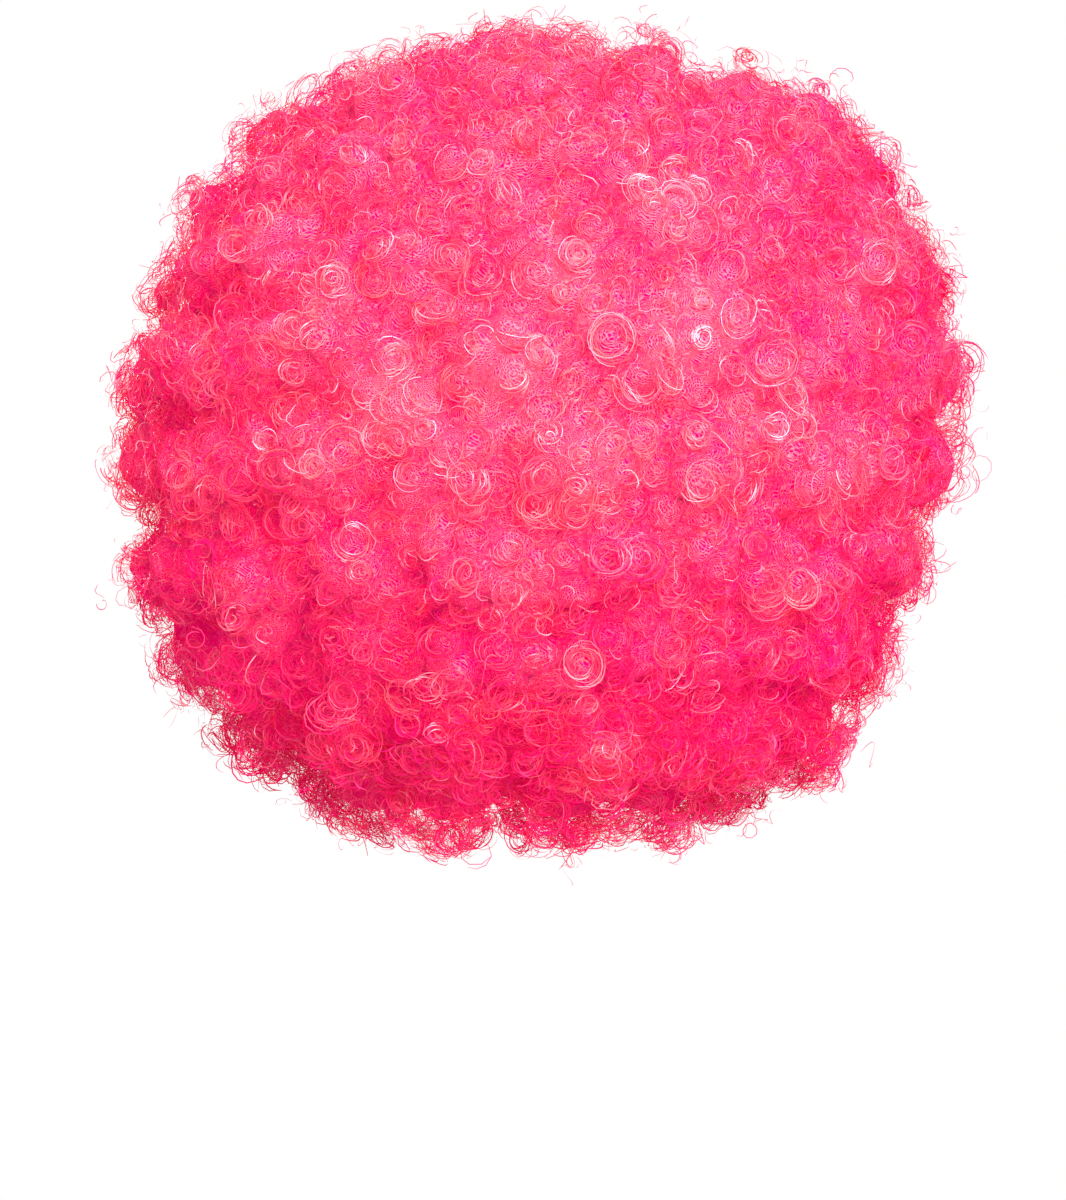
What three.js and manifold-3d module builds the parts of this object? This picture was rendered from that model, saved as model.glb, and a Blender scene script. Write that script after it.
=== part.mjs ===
// Afro wig: a foundation cap with an elastic hem band, and rows of curly hair sewn round it, each row a
// backing of massed hair with a ring of rounded locks fused to it. The hair is a near ball, hollow where
// the head and neck go and open in front for the face.
// Millimetres. +Z is up, +X is the wearer's left and -Y is the way the wearer faces. The origin is inside
// the cap at its crown, where the top of the head meets it.
import * as THREE from "three";
import { mergeVertices } from "three/addons/utils/BufferGeometryUtils.js";
import Module from "manifold-3d";

const wasm = await Module();
wasm.setup();

// Driving dimensions of the head space
const headHalfBreadth = 77;
const headFront = 97;
const headBack = 97;
const napeDrop = 180;
const sideDrop = 122;
const browDrop = 64;

// Driving dimensions of the cap and its band
const capWall = 2;
const bandHeight = 12;
const bandWall = 3;
const pieceGap = 0.3;

// Driving dimensions of the hair
const ballRadius = 170;
const ballCentreDrop = 55;
const crownLockDegrees = 9;
const hairEndDegrees = 159;
const hairRowCount = 11;
const lockWidth = 50;
const lockRise = 11;
const lockDip = 3;
const backingDepth = 12;
const lockShortest = 0.8;
const lockTallest = 1.2;
const lockRoundness = 0.6;

// Driving dimensions of the face opening
const faceHalfWidth = 70;
const faceTopDrop = 72;
const faceArchHeight = 56;

// How finely the round forms are faceted
const columns = 24;
const capRings = 7;
const archSegments = 10;
const facesAcrossLock = 4;
const crownLockColumns = 12;
const nearColumns = 8;
const capRingCrowding = 1.6;
const weldDistance = 0.001;
const slopeStep = 0.5;
const slopeTurn = 0.01;

// The head inside the wig, from the crown down past the nape to the neck. Drop is a share of napeDrop;
// breadth, front and back are shares of the head's half breadth, front and back.
const headSections = [
  { drop: 0.0, breadth: 0.0, front: 0.0, back: 0.0 },
  { drop: 0.01, breadth: 0.2, front: 0.2, back: 0.2 },
  { drop: 0.04, breadth: 0.41, front: 0.41, back: 0.41 },
  { drop: 0.1, breadth: 0.62, front: 0.63, back: 0.63 },
  { drop: 0.2, breadth: 0.82, front: 0.84, back: 0.83 },
  { drop: 0.34, breadth: 0.95, front: 0.96, back: 0.95 },
  { drop: 0.52, breadth: 1.0, front: 1.0, back: 1.0 },
  { drop: 0.7, breadth: 0.98, front: 0.98, back: 0.97 },
  { drop: 0.86, breadth: 0.9, front: 0.95, back: 0.86 },
  { drop: 1.0, breadth: 0.81, front: 0.92, back: 0.72 },
  { drop: 1.18, breadth: 0.75, front: 0.9, back: 0.61 },
  { drop: 1.6, breadth: 0.76, front: 0.9, back: 0.61 },
];

// The outer form of the hair round its centre. Angle is in degrees down from the top; left, right, front
// and back are shares of ballRadius.
const hairSections = [
  { angle: 0, left: 0.965, right: 0.965, front: 0.965, back: 0.965 },
  { angle: 15, left: 0.97, right: 0.93, front: 0.96, back: 0.97 },
  { angle: 30, left: 0.95, right: 0.96, front: 0.95, back: 0.99 },
  { angle: 45, left: 0.99, right: 1.05, front: 0.94, back: 1.03 },
  { angle: 60, left: 1.01, right: 1.05, front: 0.93, back: 1.06 },
  { angle: 75, left: 1.0, right: 1.08, front: 0.93, back: 1.08 },
  { angle: 90, left: 1.02, right: 1.04, front: 0.92, back: 1.08 },
  { angle: 105, left: 1.01, right: 1.01, front: 0.9, back: 1.07 },
  { angle: 120, left: 1.06, right: 1.03, front: 0.85, back: 1.06 },
  { angle: 135, left: 1.04, right: 1.08, front: 0.8, back: 1.05 },
  { angle: 150, left: 1.05, right: 1.06, front: 0.76, back: 1.05 },
  { angle: 180, left: 1.06, right: 1.06, front: 0.74, back: 1.06 },
];

const hairPink = new THREE.MeshStandardMaterial({ color: 0xf2356f, roughness: 0.55, metalness: 0 });
const capPink = new THREE.MeshStandardMaterial({ color: 0xc9346b, roughness: 0.8, metalness: 0 });
const bandPink = new THREE.MeshStandardMaterial({ color: 0xd9457a, roughness: 0.7, metalness: 0 });

const centre = new THREE.Vector3(0, 0, -ballCentreDrop);
const fullTurn = 2 * Math.PI;
const goldenTurn = 0.618034;
const headRows = headSections.map((row) => ({ ...row, drop: row.drop * napeDrop }));
const nearRadius = headHalfBreadth / 4;
const midRadius = ballRadius / 2;
const roomFloorDrop = ballCentreDrop + 1.3 * ballRadius;
const farAway = 3 * ballRadius;

// The value of a table's column at a place between two of its rows
function between(rows, key, at, column) {
  const last = rows.length - 1;
  let i = 1;
  while (i < last && rows[i][key] < at) i += 1;
  const low = rows[i - 1];
  const high = rows[i];
  const share = THREE.MathUtils.clamp((at - low[key]) / (high[key] - low[key]), 0, 1);
  return THREE.MathUtils.lerp(low[column], high[column], share);
}

// A spread of numbers from 0 to 1 that repeats for the same whole number
function scatter(index) {
  return (index * goldenTurn) % 1;
}

// The point on the head at a drop below the crown, in the direction turn round from the wearer's left
function headPoint(drop, turn) {
  const x = headHalfBreadth * between(headRows, "drop", drop, "breadth");
  const side = Math.sin(turn) < 0 ? headFront : headBack;
  const y = side * between(headRows, "drop", drop, Math.sin(turn) < 0 ? "front" : "back");
  return new THREE.Vector3(x * Math.cos(turn), y * Math.sin(turn), -drop);
}

// The head's outward direction at the same place
function headNormal(drop, turn) {
  if (drop <= 0) return new THREE.Vector3(0, 0, 1);
  const down = headPoint(drop + slopeStep, turn).sub(headPoint(Math.max(drop - slopeStep, 0), turn));
  const round = headPoint(drop, turn + slopeTurn).sub(headPoint(drop, turn - slopeTurn));
  return down.cross(round).normalize();
}

function offHead(drop, turn, distance) {
  return headPoint(drop, turn).addScaledVector(headNormal(drop, turn), distance);
}

// How far below the crown the hem runs: high at the brow, lower over the ears, lowest at the nape
function hemDrop(turn) {
  const end = Math.sin(turn) < 0 ? browDrop : napeDrop;
  return THREE.MathUtils.lerp(sideDrop, end, Math.sin(turn) ** 2);
}

function capEdgeDrop(turn) {
  return hemDrop(turn) - bandHeight;
}

// The faces between two rings, which may have different numbers of points or be a single point
function faceBetween(a, b) {
  const faces = [];
  const place = (loop, step) => loop.start + (step % loop.count);
  const next = (loop, step) => (loop.count > 1 ? (step + 0.5) / loop.count : Infinity);
  const stepsA = a.count > 1 ? a.count : 0;
  const stepsB = b.count > 1 ? b.count : 0;
  let i = 0;
  let j = 0;
  while (i < stepsA || j < stepsB) {
    if (next(a, i) <= next(b, j)) {
      faces.push(place(a, i), place(b, j), place(a, i + 1));
      i += 1;
    } else {
      faces.push(place(a, i), place(b, j), place(b, j + 1));
      j += 1;
    }
  }
  return faces;
}

// A closed mesh from rings of points, from one end to the other
function skin(rings) {
  const points = rings.flat();
  const faces = [];
  let start = 0;
  const loops = rings.map((loopPoints) => {
    const loop = { start, count: loopPoints.length };
    start += loop.count;
    return loop;
  });
  for (let i = 1; i < loops.length; i += 1) faces.push(...faceBetween(loops[i - 1], loops[i]));
  const geometry = new THREE.BufferGeometry().setFromPoints(points);
  geometry.setIndex(faces);
  return geometry;
}

function ring(pointAt, count = columns) {
  return Array.from({ length: count }, (unused, j) => pointAt((fullTurn * j) / count));
}

function solid(geometry) {
  const bare = geometry.clone();
  bare.deleteAttribute("normal");
  bare.deleteAttribute("uv");
  const merged = mergeVertices(bare, weldDistance);
  const mesh = new wasm.Mesh({
    numProp: 3,
    vertProperties: merged.attributes.position.array,
    triVerts: new Uint32Array(merged.index.array),
  });
  return new wasm.Manifold(mesh);
}

// The largest of a solid's separate pieces, without the crumbs that a cut leaves beside it
function mainBody(whole) {
  return whole.decompose().reduce((most, next) => (next.volume() > most.volume() ? next : most));
}

function mesh(name, shape, material) {
  const data = shape.getMesh();
  const geometry = new THREE.BufferGeometry();
  geometry.setAttribute("position", new THREE.BufferAttribute(data.vertProperties, 3));
  geometry.setIndex(new THREE.BufferAttribute(data.triVerts, 1));
  geometry.computeVertexNormals();
  const made = new THREE.Mesh(geometry, material);
  made.name = name;
  return made;
}

// Rings from the crown down to a lower edge, closest together where the crown is flattest
function crownRings(edgeDrop, distance) {
  const rings = [[new THREE.Vector3(0, 0, distance)]];
  for (let i = 1; i <= capRings; i += 1) {
    const share = (i / capRings) ** capRingCrowding;
    rings.push(ring((turn) => offHead(edgeDrop(turn) * share, turn, distance)));
  }
  return rings;
}

function capSolid() {
  const outside = crownRings(capEdgeDrop, capWall);
  const inside = crownRings(capEdgeDrop, 0).reverse();
  return solid(skin([...outside, ...inside]));
}

function bandSolid() {
  const top = (turn) => capEdgeDrop(turn) + pieceGap;
  const loops = [
    ring((turn) => offHead(top(turn), turn, 0)),
    ring((turn) => offHead(top(turn), turn, bandWall)),
    ring((turn) => offHead(hemDrop(turn), turn, bandWall)),
    ring((turn) => offHead(hemDrop(turn), turn, 0)),
  ];
  return solid(skin([...loops, loops[0]]));
}

// The room that the head, the cap and the band take inside the hair, down past the neck
function headRoom() {
  const clear = bandWall + pieceGap;
  const rings = crownRings(capEdgeDrop, capWall + pieceGap);
  rings.push(ring((turn) => offHead(capEdgeDrop(turn) + pieceGap, turn, clear)));
  rings.push(ring((turn) => offHead(hemDrop(turn) + pieceGap, turn, clear)));
  const neckTop = (turn) => (hemDrop(turn) + roomFloorDrop) / 2;
  rings.push(ring((turn) => offHead(neckTop(turn), turn, clear)));
  rings.push(ring((turn) => offHead(roomFloorDrop, turn, clear)));
  rings.push([new THREE.Vector3(0, 0, -roomFloorDrop)]);
  return solid(skin(rings));
}

// The opening in front of the face: an arch as seen from the front, run forwards from inside the head
function faceRoom() {
  const archFoot = -(faceTopDrop + faceArchHeight);
  const arch = new THREE.Shape();
  arch.moveTo(-faceHalfWidth, -farAway);
  arch.lineTo(faceHalfWidth, -farAway);
  arch.lineTo(faceHalfWidth, archFoot);
  arch.absellipse(0, archFoot, faceHalfWidth, faceArchHeight, 0, Math.PI);
  const room = new THREE.ExtrudeGeometry(arch, {
    depth: farAway,
    bevelEnabled: false,
    curveSegments: archSegments,
  });
  room.rotateX(Math.PI / 2);
  return solid(room);
}

// The direction from the hair's centre at an angle down from the top and a turn round from the left
function direction(angle, turn) {
  const across = Math.sin(angle);
  return new THREE.Vector3(across * Math.cos(turn), across * Math.sin(turn), Math.cos(angle));
}

// How far the hair's backing reaches from its centre in a direction
function hairReach(angle, turn) {
  const at = THREE.MathUtils.radToDeg(angle);
  const side = between(hairSections, "angle", at, Math.cos(turn) > 0 ? "left" : "right");
  const depth = between(hairSections, "angle", at, Math.sin(turn) < 0 ? "front" : "back");
  return ballRadius / Math.hypot(Math.cos(turn) / side, Math.sin(turn) / depth);
}

function hairPoint(angle, turn, extra) {
  return direction(angle, turn).multiplyScalar(hairReach(angle, turn) + extra).add(centre);
}

// How far a lock stands up at a place across it, which runs from -1 to 1, as a share of its height
function dome(place) {
  return Math.cos((place * Math.PI) / 2) ** lockRoundness;
}

// The angle at which a loop of points stands so that it and the flats between its points keep clear of
// the cone at an angle. Side is 1 for a row's start, below the cone, and -1 for its end, above the cone.
function keepClear(angle, side, radius, count) {
  const kept = angle + (side * pieceGap) / 2 / radius;
  const flat = side * Math.cos(kept) > 0 ? Math.cos(Math.PI / count) : 1;
  return Math.atan2(Math.sin(kept), Math.cos(kept) * flat);
}

// The lock at the very top, on a backing that tapers towards the hair's centre
function crownLock() {
  const end = keepClear(THREE.MathUtils.degToRad(crownLockDegrees), -1, ballRadius, crownLockColumns);
  const rings = [[hairPoint(0, 0, lockRise)]];
  for (let i = 1; i <= facesAcrossLock / 2; i += 1) {
    const share = (2 * i) / facesAcrossLock;
    const height = (lockRise + lockDip) * dome(share) - lockDip;
    rings.push(ring((turn) => hairPoint(end * share, turn, height), crownLockColumns));
  }
  rings.push([centre.clone().setZ(centre.z + nearRadius)]);
  return solid(skin(rings));
}

// One row of hair: a backing between two cones round the hair's centre, from near the centre out, with a
// ring of locks fused round it. The locks differ in height.
function hairRow(startDegrees, endDegrees, rowNumber) {
  const start = THREE.MathUtils.degToRad(startDegrees);
  const end = THREE.MathUtils.degToRad(endDegrees);
  const count = Math.round((fullTurn * ballRadius * Math.sin((start + end) / 2)) / lockWidth);
  const fine = count * facesAcrossLock;
  const twist = scatter(rowNumber);
  const height = (round, place) => {
    const lockNumber = Math.floor(round) % count;
    const spread = scatter(rowNumber * (lockNumber + 1));
    const full = lockDip + lockRise * THREE.MathUtils.lerp(lockShortest, lockTallest, spread);
    return full * dome(2 * (round % 1) - 1) * dome(place) - lockDip;
  };
  const lockRing = (angle, place) => ring((turn) => (
    hairPoint(angle, turn + twist, height((turn / fullTurn) * count, place))
  ), fine);
  const innerRing = (angle, side) => ring((turn) => (
    hairPoint(keepClear(angle, side, midRadius, count), turn + twist, -backingDepth)
  ), count);
  const nearRing = (angle, side) => ring((turn) => (
    direction(keepClear(angle, side, nearRadius, nearColumns), turn + twist)
      .multiplyScalar(nearRadius)
      .add(centre)
  ), nearColumns);
  const first = keepClear(start, 1, ballRadius, fine);
  const last = keepClear(end, -1, ballRadius, fine);
  const rings = [nearRing(start, 1), innerRing(start, 1)];
  for (let i = 0; i <= facesAcrossLock; i += 1) {
    const share = i / facesAcrossLock;
    rings.push(lockRing(THREE.MathUtils.lerp(first, last, share), 2 * share - 1));
  }
  rings.push(innerRing(end, -1), nearRing(end, -1));
  return solid(skin([...rings, rings[0]]));
}

function hairMeshes() {
  const hollow = headRoom().add(faceRoom());
  const made = [mesh("hair_crown", crownLock().subtract(hollow), hairPink)];
  const step = (hairEndDegrees - crownLockDegrees) / hairRowCount;
  for (let i = 0; i < hairRowCount; i += 1) {
    const start = crownLockDegrees + i * step;
    const row = hairRow(start, start + step, i + 1);
    made.push(mesh(`hair_row_${i + 1}`, mainBody(row.subtract(hollow)), hairPink));
  }
  return made;
}

const wig = new THREE.Group();
wig.add(mesh("cap", capSolid(), capPink));
wig.add(mesh("hem_band", bandSolid(), bandPink));
wig.add(...hairMeshes());

export default wig;
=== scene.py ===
"""A pink afro wig: rows of tight curls on a stretch cap, seen from behind as it would be worn."""
import math

import bpy
import numpy as np
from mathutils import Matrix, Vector
from mathutils.bvhtree import BVHTree
from mathutils.kdtree import KDTree


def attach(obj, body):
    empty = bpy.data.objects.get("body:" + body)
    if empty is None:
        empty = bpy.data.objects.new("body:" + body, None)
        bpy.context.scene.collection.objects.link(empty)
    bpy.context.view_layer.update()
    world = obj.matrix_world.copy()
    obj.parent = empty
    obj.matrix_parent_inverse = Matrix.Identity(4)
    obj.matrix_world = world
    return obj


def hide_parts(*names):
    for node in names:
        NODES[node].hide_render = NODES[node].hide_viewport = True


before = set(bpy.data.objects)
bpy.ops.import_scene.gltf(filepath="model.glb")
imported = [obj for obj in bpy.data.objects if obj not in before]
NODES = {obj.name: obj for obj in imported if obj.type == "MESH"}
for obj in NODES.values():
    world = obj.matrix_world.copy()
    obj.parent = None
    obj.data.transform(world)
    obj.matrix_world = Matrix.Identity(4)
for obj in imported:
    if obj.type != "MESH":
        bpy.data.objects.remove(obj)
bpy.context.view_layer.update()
RNG = np.random.default_rng(7)

# Sizes, in metres
HAIR_CENTRE = np.array([0.0, 0.0, -0.055])
HAIR_RADIUS = 0.175
RINGLET_SPACING = 0.0120
RINGLET_RADIUS = 0.0068
RINGLET_RISE = 0.005
FIBRE_WIDTH = 0.00046
CLUMP_SPACING = 0.042
CLUMP_RISE = 0.0095
MASS_VOXEL = 0.0049
MASS_SKIN = 0.0006
INNER_RADIUS = 0.115
INNER_BLEND = 0.03
NAPE_HEIGHT = -0.190
WALL_RISE = 0.003
FACE_RIM = 0.082
FACE_RIM_FRONT = -0.08
FACE_RIM_HEIGHT = -0.07
FACE_FRINGE = 0.009
NAPE_HANG = 0.004
CAMERA_HEIGHT = -0.130
CAMERA_AWAY = 1.4
PHOTO_HEIGHT = 0.504
SENSOR_WIDTH = 0.036
FLOOR_HEIGHT = -1.65
FLOOR_RADIUS = 6.5
RAY_START = 0.6
RAY_AIM = 0.19

# How many rays look for the hair, places are tried for clumps, and points are averaged for the outer form
RAYS = 60000
CLUMP_TRIES = 5000
REACH_NEIGHBOURS = 14

# How strongly the hair glows as painted light, and how many radians of arc strokes there are to a metre
FIBRE_PAINTED_GLOW = 0.07
MASS_PAINTED_GLOW = 0.26
ARC_RATE = 6400.0

HAIR_ROWS = ["hair_crown"] + [f"hair_row_{i}" for i in range(1, 12)]

# How each kind of curl stands on the hair. Spacing is between roots, depth is how far the roots spread in
# and out, tilt is how far the curls lean, and turned is the share of them that points almost any way. Kinds
# with an edge get more roots along the low edge of the hair.
STANDS = {
    "ringlet": {"spacing": RINGLET_SPACING, "depth": 0.0022, "tilt": 0.36, "turned": 0.15, "edge": True},
    "frizz": {"spacing": 0.0037, "depth": 0.0030, "tilt": 0.7, "turned": 0.2, "edge": False},
    "stray": {"spacing": 0.0118, "depth": 0.002, "tilt": 0.5, "turned": 0.7, "edge": True},
}

# How the fibres of each kind of curl coil. Pairs are the least and the most. Radius is in metres, or for
# ringlets in shares of RINGLET_RADIUS, pitch is in metres for each turn, narrow is the share of the radius
# left at the tip, width is in shares of FIBRE_WIDTH, and wobble is how unevenly the radius runs.
COILS = {
    "ringlet": {"radius": (0.6, 1.3), "pitch": (0.001, 0.006), "narrow": (0.65, 1.15), "width": (0.6, 1.25),
                "wobble": 0.10},
    "frizz": {"radius": (0.002, 0.0066), "pitch": (0.002, 0.007), "narrow": (0.4, 1.2), "width": (0.4, 0.85),
              "wobble": 0.15, "turns": (0.25, 0.6), "steps": 7},
    "stray": {"radius": (0.002, 0.0055), "pitch": (0.003, 0.008), "narrow": (0.4, 1.1), "width": (0.5, 0.8),
              "wobble": 0.18, "turns": (0.7, 1.5), "steps": 12},
}

# The fibres of one ringlet, from its rim to its heart. Low and high are shares of the ringlet's radius,
# and least and most are how many turns a fibre makes.
RINGLET_FIBRES = [
    {"low": 0.82, "high": 1.12, "fibres": 10, "steps": 10, "least": 0.30, "most": 0.70},
    {"low": 0.45, "high": 0.95, "fibres": 9, "steps": 8, "least": 0.30, "most": 0.65},
    {"low": 0.12, "high": 0.50, "fibres": 3, "steps": 6, "least": 0.35, "most": 0.65},
]

# What changes with height. Up is the upward part of the direction out from the hair's centre. Drop is how
# far the curls' mean height stands inside the imported rows, depth is how far the hair mass lies inside the
# curls, and tone is painted light and shade: paler round the middle height, darker low down.
BY_HEIGHT = [
    {"up": -1.0, "drop": 0.001, "depth": 0.013, "tone": -0.20},
    {"up": -0.8, "drop": 0.003, "depth": 0.012, "tone": -0.18},
    {"up": -0.5, "drop": 0.005, "depth": 0.006, "tone": -0.08},
    {"up": -0.1, "drop": 0.006, "depth": 0.0045, "tone": 0.13},
    {"up": 0.6, "drop": 0.006, "depth": 0.0045, "tone": 0.02},
    {"up": 1.0, "drop": 0.0095, "depth": 0.0045, "tone": -0.02},
]

# Lobes and hollows of the outline in the photo. Across and up are parts of the direction out from the
# hair's centre, and out is how far the curls stand out there. The width is measured as across and up are.
LOBE_WIDTH = 0.22
LOBES = [
    {"across": 0.92, "up": 0.38, "out": -0.008},
    {"across": 0.98, "up": -0.10, "out": -0.003},
    {"across": 0.70, "up": 0.71, "out": -0.004},
    {"across": 0.75, "up": -0.66, "out": 0.006},
    {"across": -0.45, "up": 0.89, "out": -0.003},
    {"across": -0.70, "up": 0.71, "out": 0.006},
]

# Colours by tone, from deep to pale. Tone is partly random and partly painted light and shade, and the
# palest fibres are painted glints. Single fibres lie between the cool pinks and the warm ones.
COOL_PINKS = [
    (0.0, (0.64, 0.000, 0.105)),
    (0.25, (0.76, 0.004, 0.115)),
    (0.5, (0.86, 0.050, 0.135)),
    (0.75, (0.92, 0.180, 0.250)),
    (1.0, (0.97, 0.600, 0.780)),
]
WARM_PINKS = [
    (0.0, (0.72, 0.000, 0.060)),
    (0.25, (0.82, 0.010, 0.075)),
    (0.5, (0.89, 0.080, 0.103)),
    (0.75, (0.94, 0.220, 0.225)),
    (1.0, (0.98, 0.580, 0.700)),
]
MASS_PINKS = [
    (0.12, (0.68, 0.000, 0.080)),
    (0.3, (0.78, 0.001, 0.100)),
    (0.5, (0.85, 0.045, 0.120)),
    (0.78, (0.92, 0.180, 0.215)),
]
PAPER_GREYS = [(0.0, (0.55, 0.54, 0.55)), (1.0, (0.59, 0.58, 0.59))]
CAP_PINKS = [(0.0, (0.62, 0.03, 0.16)), (1.0, (0.96, 0.24, 0.42))]
HEM_PINKS = [(0.0, (0.75, 0.06, 0.22)), (1.0, (1.0, 0.32, 0.5))]


# Camera, floor and light

def make_camera():
    data = bpy.data.cameras.new("camera")
    data.sensor_width = 1000 * SENSOR_WIDTH
    data.lens = data.sensor_width / 2 / (PHOTO_HEIGHT / 2 / CAMERA_AWAY)
    cam = bpy.data.objects.new("camera", data)
    bpy.context.scene.collection.objects.link(cam)
    cam.location = (0, CAMERA_AWAY, CAMERA_HEIGHT)
    cam.rotation_euler = (math.radians(90), 0, math.radians(180))
    bpy.context.scene.camera = cam


def make_area_light(name, place, aim, size, power):
    data = bpy.data.lights.new(name, "AREA")
    data.shape = "DISK"
    data.size = size
    data.energy = power
    light = bpy.data.objects.new(name, data)
    bpy.context.scene.collection.objects.link(light)
    light.location = place
    light.rotation_euler = (Vector(aim) - Vector(place)).to_track_quat("-Z", "Y").to_euler()


def make_floor():
    bpy.ops.mesh.primitive_circle_add(vertices=64, radius=FLOOR_RADIUS, fill_type="NGON",
                                      location=(0, 0, FLOOR_HEIGHT))
    floor = bpy.context.object
    floor.name = "studio_floor"
    mat, tree, shader = new_material("studio_paper")
    noise = add_node(tree, "ShaderNodeTexNoise", Scale=3.0)
    tree.links.new(colour_ramp(tree, noise.outputs["Fac"], PAPER_GREYS), shader.inputs["Base Color"])
    shader.inputs["Roughness"].default_value = 0.9
    floor.data.materials.append(mat)


def make_world():
    world = bpy.data.worlds.new("studio")
    world.use_nodes = True
    world.node_tree.nodes["Background"].inputs["Color"].default_value = (1, 1, 1, 1)
    world.node_tree.nodes["Background"].inputs["Strength"].default_value = 1.0
    bpy.context.scene.world = world


# Materials

def new_material(name):
    mat = bpy.data.materials.new(name)
    mat.use_nodes = True
    tree = mat.node_tree
    return mat, tree, tree.nodes["Principled BSDF"]


def add_node(tree, kind, **inputs):
    node = tree.nodes.new(kind)
    for name, value in inputs.items():
        node.inputs[name].default_value = value
    return node


def colour_ramp(tree, value, stops):
    ramp = tree.nodes.new("ShaderNodeValToRGB")
    elements = ramp.color_ramp.elements
    while len(elements) < len(stops):
        elements.new(0.5)
    for element, (place, colour) in zip(elements, stops):
        element.position = place
        element.color = (*colour, 1)
    tree.links.new(value, ramp.inputs["Fac"])
    return ramp.outputs["Color"]


def math_node(tree, operation, *values):
    node = tree.nodes.new("ShaderNodeMath")
    node.operation = operation
    for socket, value in zip(node.inputs, values):
        if isinstance(value, (int, float)):
            socket.default_value = value
        else:
            tree.links.new(value, socket)
    return node.outputs["Value"]


def vector_node(tree, operation, *values):
    node = tree.nodes.new("ShaderNodeVectorMath")
    node.operation = operation
    for socket, value in zip(node.inputs, values):
        if isinstance(value, tuple):
            socket.default_value = value
        else:
            tree.links.new(value, socket)
    return node


def attribute(tree, name):
    node = tree.nodes.new("ShaderNodeAttribute")
    node.attribute_name = name
    return node


def mix_colour(tree, share, first, second):
    node = tree.nodes.new("ShaderNodeMix")
    node.data_type = "RGBA"
    tree.links.new(share, node.inputs["Factor"])
    tree.links.new(first, node.inputs[6])
    tree.links.new(second, node.inputs[7])
    return node.outputs[2]


def fibre_material():
    """Single fibres, coloured by the tone and the warmth that each of their points has, both partly painted
    light and shade.
    """
    mat, tree, shader = new_material("pink_fibre")
    tone = attribute(tree, "tone").outputs["Fac"]
    cool, warm = colour_ramp(tree, tone, COOL_PINKS), colour_ramp(tree, tone, WARM_PINKS)
    colour = mix_colour(tree, attribute(tree, "warmth").outputs["Fac"], cool, warm)
    tree.links.new(colour, shader.inputs["Base Color"])
    shader.inputs["Roughness"].default_value = 0.4
    shader.inputs["Specular IOR Level"].default_value = 0.25
    shader.inputs["Specular Tint"].default_value = (1.0, 0.35, 0.6, 1)
    painted_glow(shader, FIBRE_PAINTED_GLOW)
    return mat


def painted_glow(shader, strength):
    """Painted light: a faint pink glow, so that shaded hair stays a vivid pink."""
    shader.inputs["Emission Color"].default_value = (1.0, 0.0, 0.20, 1)
    shader.inputs["Emission Strength"].default_value = strength


def arc_strokes(tree, place, heart, shift):
    """Thin strokes on arcs round a place near each ringlet's heart."""
    moved = vector_node(tree, "ADD", heart, shift)
    away = vector_node(tree, "DISTANCE", place, moved.outputs["Vector"])
    rings = math_node(tree, "SINE", math_node(tree, "MULTIPLY", away.outputs["Value"], ARC_RATE))
    return math_node(tree, "POWER", math_node(tree, "MULTIPLY_ADD", rings, 0.5, 0.5), 2.0)


def mass_material():
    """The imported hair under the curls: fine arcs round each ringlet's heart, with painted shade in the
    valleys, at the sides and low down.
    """
    mat, tree, shader = new_material("pink_hair_mass")
    place = tree.nodes.new("ShaderNodeTexCoord").outputs["Object"]
    stray = add_node(tree, "ShaderNodeTexNoise", Scale=160.0, Detail=2.0)
    tree.links.new(place, stray.inputs["Vector"])
    bent = vector_node(tree, "MULTIPLY_ADD", stray.outputs["Color"], (0.005, 0.005, 0.005), place)
    heart = attribute(tree, "heart").outputs["Vector"]
    near = arc_strokes(tree, bent.outputs["Vector"], heart, (0.0025, 0.0025, 0.0025))
    far = arc_strokes(tree, bent.outputs["Vector"], heart, (-0.003, 0.004, 0.009))
    arcs = math_node(tree, "MAXIMUM", near, far)
    fine = add_node(tree, "ShaderNodeTexNoise", Scale=700.0, Detail=2.0)
    tree.links.new(place, fine.inputs["Vector"])
    strength = math_node(tree, "MULTIPLY", arcs, fine.outputs["Fac"])
    # Painted light and shade: the crest attribute makes the mass paler on domes, clump tops and the middle,
    # and darker in the valleys, at the sides and low down.
    shade = math_node(tree, "MULTIPLY_ADD", attribute(tree, "crest").outputs["Fac"], 0.3, strength)
    tree.links.new(colour_ramp(tree, shade, MASS_PINKS), shader.inputs["Base Color"])
    bump = add_node(tree, "ShaderNodeBump", Strength=0.8, Distance=0.001)
    tree.links.new(strength, bump.inputs["Height"])
    tree.links.new(bump.outputs["Normal"], shader.inputs["Normal"])
    shader.inputs["Roughness"].default_value = 0.6
    shader.inputs["Specular IOR Level"].default_value = 0.0
    painted_glow(shader, MASS_PAINTED_GLOW)
    return mat


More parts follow.
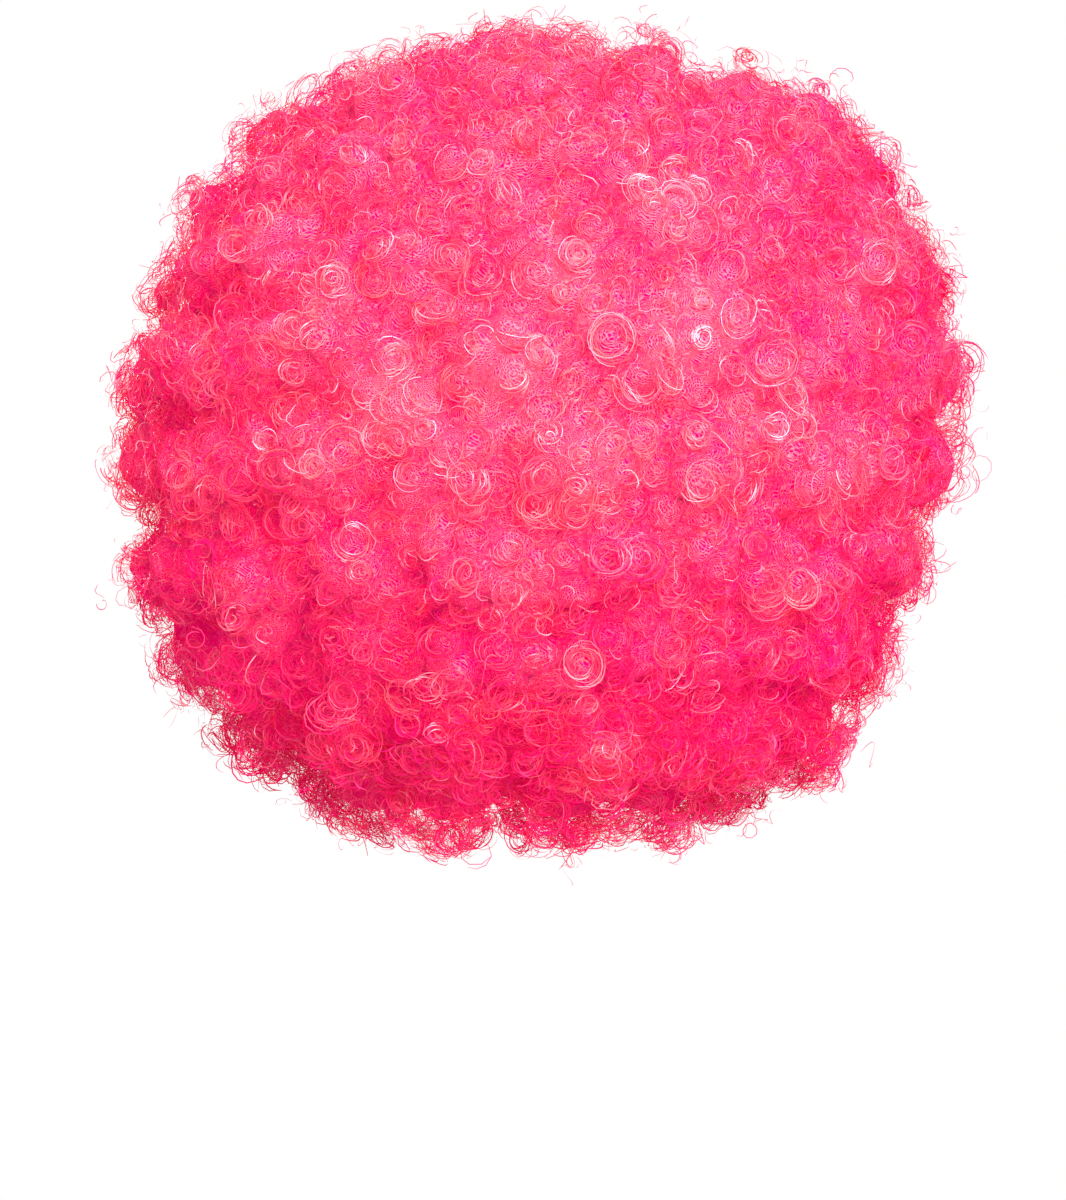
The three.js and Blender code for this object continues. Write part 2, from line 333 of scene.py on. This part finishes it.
def cloth_material(name, pinks, scale, row_scale):
    """A fine knit with crossed ribs, and the lines where rows of hair are sewn to it."""
    mat, tree, shader = new_material(name)
    place = tree.nodes.new("ShaderNodeTexCoord")
    waves = []
    for direction, size in (("Z", scale), ("X", scale), ("Z", row_scale)):
        wave = add_node(tree, "ShaderNodeTexWave", Scale=size, Distortion=0.6, Detail=1.0)
        wave.bands_direction = direction
        tree.links.new(place.outputs["Object"], wave.inputs["Vector"])
        waves.append(wave.outputs["Fac"])
    knit = math_node(tree, "MULTIPLY", waves[0], waves[1])
    sewn = math_node(tree, "POWER", waves[2], 6.0)
    weave = math_node(tree, "MAXIMUM", math_node(tree, "MULTIPLY", knit, 0.6), sewn)
    tree.links.new(colour_ramp(tree, weave, pinks), shader.inputs["Base Color"])
    bump = add_node(tree, "ShaderNodeBump", Strength=0.6, Distance=0.0006)
    tree.links.new(weave, bump.inputs["Height"])
    tree.links.new(bump.outputs["Normal"], shader.inputs["Normal"])
    shader.inputs["Roughness"].default_value = 0.85
    return mat


# Where the hair is

def node_triangles(name):
    mesh = NODES[name].data
    mesh.calc_loop_triangles()
    points = np.empty(len(mesh.vertices) * 3)
    mesh.vertices.foreach_get("co", points)
    faces = np.empty(len(mesh.loop_triangles) * 3, dtype=np.int32)
    mesh.loop_triangles.foreach_get("vertices", faces)
    return points.reshape(-1, 3), faces.reshape(-1, 3)


def seen_surface(count):
    """Points on the hair that can be seen from outside: where rays sent inwards from all round first
    meet a hair row. Returns places, outward normals and the number of the row that each is on."""
    vertices, faces, owner = [], [], []
    for number, name in enumerate(HAIR_ROWS + ["cap", "hem_band"]):
        points, triangles = node_triangles(name)
        faces += (triangles + len(vertices)).tolist()
        vertices += points.tolist()
        owner += [number] * len(triangles)
    tree = BVHTree.FromPolygons(vertices, faces)
    places, normals, rows = [], [], []
    starts = unit(RNG.normal(size=(count, 3)))
    aims = unit(RNG.normal(size=(count, 3))) * (RAY_AIM * RNG.random(count) ** (1 / 3))[:, None]
    for start, aim in zip(starts * RAY_START + HAIR_CENTRE, aims + HAIR_CENTRE):
        hit, normal, index, _ = tree.ray_cast(Vector(start), Vector(aim - start))
        if hit is None or owner[index] >= len(HAIR_ROWS):
            continue
        places.append(hit)
        normals.append(normal)
        rows.append(owner[index])
    return np.array(places), np.array(normals), np.array(rows)


def tree_of(places):
    tree = KDTree(len(places))
    for i, p in enumerate(places):
        tree.insert(p, i)
    tree.balance()
    return tree


def spaced(places, distance):
    """The numbers of places picked in order so that no two are closer than distance."""
    tree = tree_of(places)
    free = np.ones(len(places), dtype=bool)
    picked = []
    for i, p in enumerate(places):
        if not free[i]:
            continue
        picked.append(i)
        for _, j, _ in tree.find_range(p, distance):
            free[j] = False
    return np.array(picked)


def unit(vectors):
    return vectors / np.maximum(np.linalg.norm(vectors, axis=-1, keepdims=True), 1e-12)


def frame_round(axis):
    """Two directions square to each axis and to each other, the second pointing upwards."""
    other = np.where(np.abs(axis[:, 2:3]) < 0.95, [[0.0, 0.0, 1.0]], [[0.0, -1.0, 0.0]])
    u = unit(np.cross(other, axis))
    return u, np.cross(axis, u)


def by_height(directions, name):
    return np.interp(directions[:, 2], [row["up"] for row in BY_HEIGHT], [row[name] for row in BY_HEIGHT])


def painted_light_and_shade(directions):
    """Painted light and shade: the curls are painted palest in the middle of the back and the front, and
    deeper at the sides and low down.
    """
    across = directions[:, 0]
    return by_height(directions, "tone") - 0.26 * across ** 2


def at_nape(directions):
    """How much of the fringe over the nape is in each direction, from 0 to 1."""
    low = np.clip((-0.6 - directions[:, 2]) / 0.25, 0, 1)
    middle = np.clip((0.38 - np.abs(directions[:, 0])) / 0.12, 0, 1)
    return low * middle * np.clip(1 + 8 * directions[:, 1], 0, 1)


def low_edge(directions):
    """How much of the low edge, round the back and the sides, is in each direction, from 0 to 1."""
    sides = np.clip((-0.68 - directions[:, 2]) / 0.1, 0, 1) * (np.abs(directions[:, 0]) > 0.3)
    return np.maximum(at_nape(directions), sides * (directions[:, 1] > -0.1))


class Hair:
    """The outer form of the hair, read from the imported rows, and where curls stand on it."""

    def __init__(self):
        self.place, self.normal, self.row = seen_surface(RAYS)
        self.radial = unit(self.place - HAIR_CENTRE)
        self.outer = np.sum(self.radial * self.normal, axis=1) > 0.35
        self.tree = tree_of(self.radial[self.outer])
        self.distance = np.linalg.norm(self.place[self.outer] - HAIR_CENTRE, axis=1)
        centres = unit(RNG.normal(size=(CLUMP_TRIES, 3)))
        self.clumps = centres[spaced(centres, CLUMP_SPACING / HAIR_RADIUS)]
        self.lift = RNG.uniform(0.6, 1.2, len(self.clumps))
        self.clump_tree = tree_of(self.clumps)

    def crest(self, directions):
        """How far up its clump of curls each direction is, from 0 in a valley to about 1 on top."""
        out = np.empty(len(directions))
        for i, d in enumerate(directions):
            (_, a, first), (_, _, second) = self.clump_tree.find_n(Vector(d), 2)
            out[i] = self.lift[a] * np.clip((second - first) / (second + first) * 1.6, 0, 1) ** 0.6
        return out

    def reach(self, directions):
        """The outer distance from the hair's centre, with the clumps of curls standing out."""
        smooth = np.empty(len(directions))
        for i, d in enumerate(directions):
            near = self.tree.find_n(Vector(d), REACH_NEIGHBOURS)
            smooth[i] = np.mean([self.distance[j] for _, j, _ in near])
        out = NAPE_HANG * at_nape(directions) - by_height(directions, "drop")
        for lobe in LOBES:
            apart = (directions[:, 0] - lobe["across"]) ** 2 + (directions[:, 2] - lobe["up"]) ** 2
            out += lobe["out"] * np.exp(-apart / LOBE_WIDTH ** 2)
        rise = CLUMP_RISE * (1 - 0.6 * at_nape(directions))
        return smooth + out + rise * (self.crest(directions) - 0.5)

    def curl_roots(self, kind):
        """Where curls of a kind stand, which way they point, whether they are on the outside, and their
        rows."""
        stand = STANDS[kind]
        order = RNG.permutation(len(self.place))
        picked = order[spaced(self.place[order], stand["spacing"])]
        if stand["edge"]:
            edge = order[low_edge(self.radial[order]) > 0.3]
            picked = np.concatenate([picked, edge[spaced(self.place[edge], 0.8 * stand["spacing"])]])
        place, normal, row = self.place[picked], self.normal[picked], self.row[picked]
        radial, out = self.radial[picked], self.outer[picked]
        shift = RNG.normal(0, stand["depth"], len(picked))
        moved = HAIR_CENTRE + radial * (self.reach(radial) + shift)[:, None]
        place = np.where(out[:, None], moved, place + normal * WALL_RISE)
        level = radial * [1.0, 1.0, 0.45]
        low = ~out & (place[:, 2] < NAPE_HEIGHT)
        aim = unit(np.where(out[:, None], level + 0.25 * normal, normal + 0.6 * radial))
        aim = np.where(low[:, None], unit(radial * [1.0, 1.0, 0.2]), aim)
        place = np.where(low[:, None], place + RNG.uniform(0, 0.005, (len(place), 1)) * normal, place)
        place[:, 2] -= 0.5 * NAPE_HANG * at_nape(radial) * RNG.random(len(place)) * ~out
        rim = np.abs(place[:, 0]) < FACE_RIM
        rim &= (place[:, 1] < FACE_RIM_FRONT) & (place[:, 2] < FACE_RIM_HEIGHT)
        place[:, 0] -= np.sign(place[:, 0]) * FACE_FRINGE * RNG.random(len(place)) * rim
        tilt = np.where(RNG.random(len(place)) < stand["turned"], 1.3, stand["tilt"])
        aim = unit(aim + RNG.normal(size=aim.shape) * tilt[:, None])
        return place, aim, out | low, row


# Fibres

class Fibres:
    """Flat fibres gathered into one mesh. Each is a strip that turns as it goes, thinner at its tip."""

    def __init__(self):
        self.points, self.faces, self.tones, self.warmths, self.count = [], [], [], [], 0

    def add(self, paths, sides, widths, tones, contrasts, warmths):
        """Contrast is how much paler one edge of each strip is than the other, so that it reads as two."""
        strands, steps, _ = paths.shape
        along = np.linspace(0, 1, steps)
        taper = np.minimum(1, 0.35 + 4 * (1 - along)) * np.minimum(1, 0.5 + 6 * along)
        half = 0.5 * widths[:, None, None] * taper[None, :, None] * sides
        points = np.stack([paths - half, paths + half], axis=2).reshape(-1, 3)
        first = (np.arange(strands) * steps * 2)[:, None] + np.arange(steps - 1)[None, :] * 2
        first = first.reshape(-1, 1) + self.count
        self.faces.append(first + np.array([[0, 1, 3, 2]]))
        self.points.append(points)
        edges = contrasts[:, None, None] * [-0.5, 0.5]
        self.tones.append(np.clip(tones[..., None] + edges, 0, 1).ravel())
        self.warmths.append(np.repeat(warmths, 2 * steps))
        self.count += len(points)


def mesh_object(name, points, faces, material):
    mesh = bpy.data.meshes.new(name)
    sides = faces.shape[1]
    mesh.vertices.add(len(points))
    mesh.vertices.foreach_set("co", points.ravel())
    mesh.loops.add(faces.size)
    mesh.loops.foreach_set("vertex_index", faces.ravel())
    mesh.polygons.add(len(faces))
    mesh.polygons.foreach_set("loop_start", np.arange(len(faces)) * sides)
    mesh.update(calc_edges=True)
    mesh.polygons.foreach_set("use_smooth", np.ones(len(faces), dtype=bool))
    mesh.materials.append(material)
    made = bpy.data.objects.new(name, mesh)
    bpy.context.scene.collection.objects.link(made)
    return made


def set_attribute(mesh, name, kind, values):
    made = mesh.attributes.new(name, kind, "POINT")
    made.data.foreach_set("vector" if kind == "FLOAT_VECTOR" else "value", values.ravel())


def fibre_object(name, fibres, material):
    made = mesh_object(name, np.concatenate(fibres.points), np.concatenate(fibres.faces), material)
    set_attribute(made.data, "tone", "FLOAT", np.concatenate(fibres.tones))
    set_attribute(made.data, "warmth", "FLOAT", np.concatenate(fibres.warmths))
    return made


def coil(place, axis, radius, turns, pitch, phase, narrow, steps, wobble):
    """Corkscrew paths round axes, each with its last point level with its place. Turns below zero wind
    the other way. Narrow is the share of the radius left at the tip. Also returns the direction out from
    the axis at each point and its angle."""
    u, v = frame_round(axis)
    t = np.linspace(0, 1, steps)[None, :]
    angle = phase[:, None] + 2 * np.pi * turns[:, None] * t
    reach = radius[:, None] * (1 - (1 - narrow[:, None]) * t)
    reach = reach * (1 + wobble[:, None] * np.sin(3 * np.pi * t + phase[:, None] * 5))
    out = (np.abs(turns) * pitch)[:, None] * (t - 1)
    radial = np.cos(angle)[..., None] * u[:, None, :] + np.sin(angle)[..., None] * v[:, None, :]
    paths = place[:, None, :] + reach[..., None] * radial + out[..., None] * axis[:, None, :]
    return paths, radial, angle


def flat_sides(radial, axis, low, high):
    """The direction across each flat fibre. It leans from the coil's radius towards its axis by an angle
    between low and high, and turns a little along the fibre."""
    strands, steps, _ = radial.shape
    twist = RNG.uniform(-0.6, 0.6, strands)[:, None] * np.linspace(0, 1, steps)
    lean = RNG.uniform(low, high, strands)[:, None] + twist
    return np.cos(lean)[..., None] * radial + np.sin(lean)[..., None] * axis[:, None, :]


def painted_glint(angle, brightest):
    """A painted highlight: how much paler a coil is painted at an angle round it, most at one side, less at
    the side opposite.
    """
    near = np.cos(angle - brightest)
    return np.exp(8 * (near - 1)) + 0.6 * np.exp(8 * (-near - 1))


def grow_ringlets(hair, rows):
    """Bundles of fibres that coil together, seen mostly end on: domes, and cups with a clear rim.
    Returns where they stand."""
    place, aim, out, row = hair.curl_roots("ringlet")
    n, shape = len(place), COILS["ringlet"]
    size = RINGLET_RADIUS * RNG.uniform(*shape["radius"], n) * np.where(out, 1, 0.7)
    crisp = RNG.beta(1.1, 3.2, n)
    cup = np.where(RNG.random(n) < 0.2 + 0.6 * crisp, -0.8, 0.5)
    winding = RNG.choice([-1.0, 1.0], n)
    away = unit(place - HAIR_CENTRE)
    crest = hair.crest(away)
    # Painted light and shade: ringlets are paler on clump tops and darker in the valleys, at the sides and
    # low down, and warmth is painted warmer where they are painted paler. Both also vary at random.
    tone = np.clip(0.29 + 0.22 * crest + painted_light_and_shade(away) + RNG.normal(0, 0.08, n), 0.02, 0.75)
    warmth = np.clip(0.48 + 0.3 * crest + 2.0 * painted_light_and_shade(away) + RNG.normal(0, 0.22, n), 0, 1)
    # Painted highlights: how strongly each ringlet's fibres are painted with glints, and the angle round it
    # where they are brightest.
    shine = 0.12 + 0.60 * RNG.random(n) ** 2
    brightest = RNG.normal(0.9, 1.2, n)
    for kind in RINGLET_FIBRES:
        facing = np.clip(0.85 + 6 * place[:, 1], 0.7, 1.15) * np.where(out, 1, 0.75)
        who = np.repeat(np.arange(n), np.round(kind["fibres"] * facing).astype(int))
        k = len(who)
        loose = 1 - 0.8 * crisp[who]
        share = RNG.uniform(kind["low"], kind["high"], k)
        height = cup[who] * size[who] * (1 - share ** 2) - RNG.uniform(0, 0.3, k) * size[who]
        turns = winding[who] * RNG.uniform(kind["least"], kind["most"], k)
        paths, radial, angle = coil(
            place[who] + aim[who] * height[:, None] + RNG.normal(0, 0.0013, (k, 3)) * loose[:, None],
            unit(aim[who] + RNG.normal(0, 0.26, (k, 3)) * loose[:, None]),
            size[who] * share, turns, RNG.uniform(*shape["pitch"], k), RNG.uniform(0, 2 * np.pi, k),
            RNG.uniform(*shape["narrow"], k), kind["steps"], RNG.normal(0, shape["wobble"], k) * loose)
        # The rim fibres of crisp ringlets get a painted highlight: they are painted paler.
        own = tone[who] + RNG.normal(0, 0.15, k) + 0.10 * crisp[who] * (share > 0.8)
        # Painted highlights along each fibre, weaker on the fibres near the heart.
        shining = shine[who] * RNG.random(k) ** 0.7 * np.where(share > 0.45, 1, 0.4)
        tones = own[:, None] + shining[:, None] * painted_glint(angle, brightest[who][:, None])
        warmths = np.clip(warmth[who] + RNG.normal(0, 0.15, k), 0, 1)
        warmths = np.where(RNG.random(k) < 0.02, 1.0, warmths)
        sides = flat_sides(radial, aim[who], -0.5, 0.9)
        widths = FIBRE_WIDTH * RNG.uniform(*shape["width"], k) * (1.1 - 0.6 * np.clip(own, 0, 1))
        add_by_row(rows, row[who], paths, sides, widths, tones, RNG.normal(0, 0.24, k), warmths)
    return place


def grow_frizz(hair, rows):
    """Loose single fibres that curl across the ringlets and make the haze between them."""
    place, aim, out, row = hair.curl_roots("frizz")
    n, shape = len(place), COILS["frizz"]
    size = RNG.uniform(*shape["radius"], n) * np.where(out, 1, 0.6)
    turns = RNG.uniform(*shape["turns"], n) * RNG.choice([-1.0, 1.0], n)
    paths, radial, angle = coil(
        place + aim * RNG.uniform(-0.004, 0.002, n)[:, None], aim, size, turns,
        RNG.uniform(*shape["pitch"], n), RNG.uniform(0, 2 * np.pi, n), RNG.uniform(*shape["narrow"], n),
        shape["steps"], RNG.normal(0, shape["wobble"], n))
    # Painted light and shade in the frizz's tone and warmth, and small painted glints.
    frizz_light_and_shade = painted_light_and_shade(unit(place - HAIR_CENTRE))
    shade = np.clip(0.9 * RNG.beta(1.6, 1.8, n) + frizz_light_and_shade, 0, 0.78)[:, None]
    tones = shade + 0.16 * RNG.random(n)[:, None] * painted_glint(angle, RNG.normal(0.9, 1.2, n)[:, None])
    warmths = np.clip(RNG.normal(0.55, 0.3, n) + 2.0 * frizz_light_and_shade, 0, 1)
    widths = FIBRE_WIDTH * RNG.uniform(*shape["width"], n)
    sides = flat_sides(radial, aim, -0.5, 1.2)
    add_by_row(rows, row, paths, sides, widths, tones, RNG.normal(0, 0.3, n), warmths)


def grow_strays(hair, rows):
    """Thin loops and wisps that stand off the outline."""
    place, aim, out, row = hair.curl_roots("stray")
    keep = np.flatnonzero(out)
    place, aim, row = place[keep], aim[keep], row[keep]
    n, shape = len(place), COILS["stray"]
    away = unit(place - HAIR_CENTRE)
    nape = at_nape(away)
    size = RNG.uniform(*shape["radius"], n) * (1 + 0.4 * nape)
    turns = RNG.uniform(*shape["turns"], n) * RNG.choice([-1.0, 1.0], n)
    rise = np.minimum(RNG.gamma(2.0, 0.0022, n), 0.012 - 0.006 * nape)[:, None]
    paths, radial, _ = coil(
        place + away * rise, aim, size, turns, RNG.uniform(*shape["pitch"], n),
        RNG.uniform(0, 2 * np.pi, n), RNG.uniform(*shape["narrow"], n), shape["steps"],
        RNG.normal(0, shape["wobble"], n))
    tones = np.repeat(RNG.uniform(0.05, 0.5, n)[:, None], shape["steps"], axis=1)
    widths = FIBRE_WIDTH * RNG.uniform(*shape["width"], n)
    warmths = np.clip(RNG.normal(0.1, 0.25, n), 0, 1)
    add_by_row(rows, row, paths, flat_sides(radial, aim, 0.0, 1.4), widths, tones, np.zeros(n), warmths)


def add_by_row(rows, owner, *fibre_sets):
    for number, fibres in enumerate(rows):
        here = owner == number
        if here.any():
            fibres.add(*(values[here] for values in fibre_sets))


def make_mass(hair, hearts, material):
    """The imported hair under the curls: all the rows as one body, drawn in on the outside, with a low
    dome under each ringlet."""
    points, faces, count = [], [], 0
    for name in HAIR_ROWS:
        own, triangles = node_triangles(name)
        normals = np.zeros_like(own)
        a, b, c = own[triangles[:, 0]], own[triangles[:, 1]], own[triangles[:, 2]]
        for corner in range(3):
            np.add.at(normals, triangles[:, corner], np.cross(b - a, c - a))
        faces.append(triangles + count)
        points.append(own + unit(normals) * MASS_SKIN)
        count += len(own)
    rough = mesh_object("hair_mass_rough", np.concatenate(points), np.concatenate(faces), material)
    remesh = rough.modifiers.new("one_body", "REMESH")
    remesh.mode = "VOXEL"
    remesh.voxel_size = MASS_VOXEL
    graph = bpy.context.evaluated_depsgraph_get()
    whole = bpy.data.meshes.new_from_object(rough.evaluated_get(graph))
    bpy.data.objects.remove(rough)
    spots = np.empty(len(whole.vertices) * 3)
    whole.vertices.foreach_get("co", spots)
    spots = spots.reshape(-1, 3)
    radial = spots - HAIR_CENTRE
    distance = np.linalg.norm(radial, axis=1)
    radial = unit(radial)
    heart_tree = tree_of(hearts)
    reach = hair.reach(radial)
    heart, dome = np.empty_like(spots), np.empty(len(spots))
    for i, p in enumerate(HAIR_CENTRE + radial * reach[:, None]):
        near, _, away = heart_tree.find(p)
        heart[i] = near
        dome[i] = math.sqrt(max(0.0, 1 - (away / (0.8 * RINGLET_SPACING)) ** 2))
    share = np.clip((distance - INNER_RADIUS) / INNER_BLEND, 0, 1)
    wanted = np.minimum(distance, reach - by_height(radial, "depth") + RINGLET_RISE * (dome - 0.6))
    kept = distance + (wanted - distance) * share
    placed = HAIR_CENTRE + radial * kept[:, None]
    whole.vertices.foreach_set("co", placed.ravel())
    whole.polygons.foreach_set("use_smooth", np.ones(len(whole.polygons), dtype=bool))
    set_attribute(whole, "heart", "FLOAT_VECTOR", heart)
    # The crest attribute is painted light and shade: paler on domes, clump tops and the middle, darker in
    # the valleys, at the sides and low down.
    set_attribute(whole, "crest", "FLOAT", 0.5 * dome + 0.5 * hair.crest(radial) + 2.5 * painted_light_and_shade(radial))
    whole.materials.clear()
    whole.materials.append(material)
    made = bpy.data.objects.new("hair_mass", whole)
    bpy.context.scene.collection.objects.link(made)
    return made


def dress(piece, slot, *nodes):
    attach(piece, "root")
    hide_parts(*nodes)


def build():
    make_camera()
    make_floor()
    make_world()
    make_area_light("key_light", place=(-0.6, 1.9, 0.7), aim=(0, 0, -0.05), size=0.9, power=82)
    make_area_light("front_light", place=(0.8, -1.8, 0.6), aim=(0, 0, -0.08), size=1.2, power=55)
    NODES["cap"].data.materials.clear()
    NODES["cap"].data.materials.append(cloth_material("cap_knit", CAP_PINKS, scale=220, row_scale=26))
    NODES["hem_band"].data.materials.clear()
    NODES["hem_band"].data.materials.append(cloth_material("hem_elastic", HEM_PINKS, scale=300, row_scale=0))
    hair = Hair()
    rows = [Fibres() for _ in HAIR_ROWS]
    hearts = grow_ringlets(hair, rows)
    grow_frizz(hair, rows)
    grow_strays(hair, rows)
    dress(make_mass(hair, hearts, mass_material()), "hair", *HAIR_ROWS)
    fibre = fibre_material()
    for name, fibres in zip(HAIR_ROWS, rows):
        dress(fibre_object(name.replace("hair", "curls"), fibres, fibre), "hair", name)


build()
scene = bpy.context.scene
scene.view_settings.view_transform = "Standard"
scene.cycles.max_bounces = 16
scene.cycles.diffuse_bounces = 10
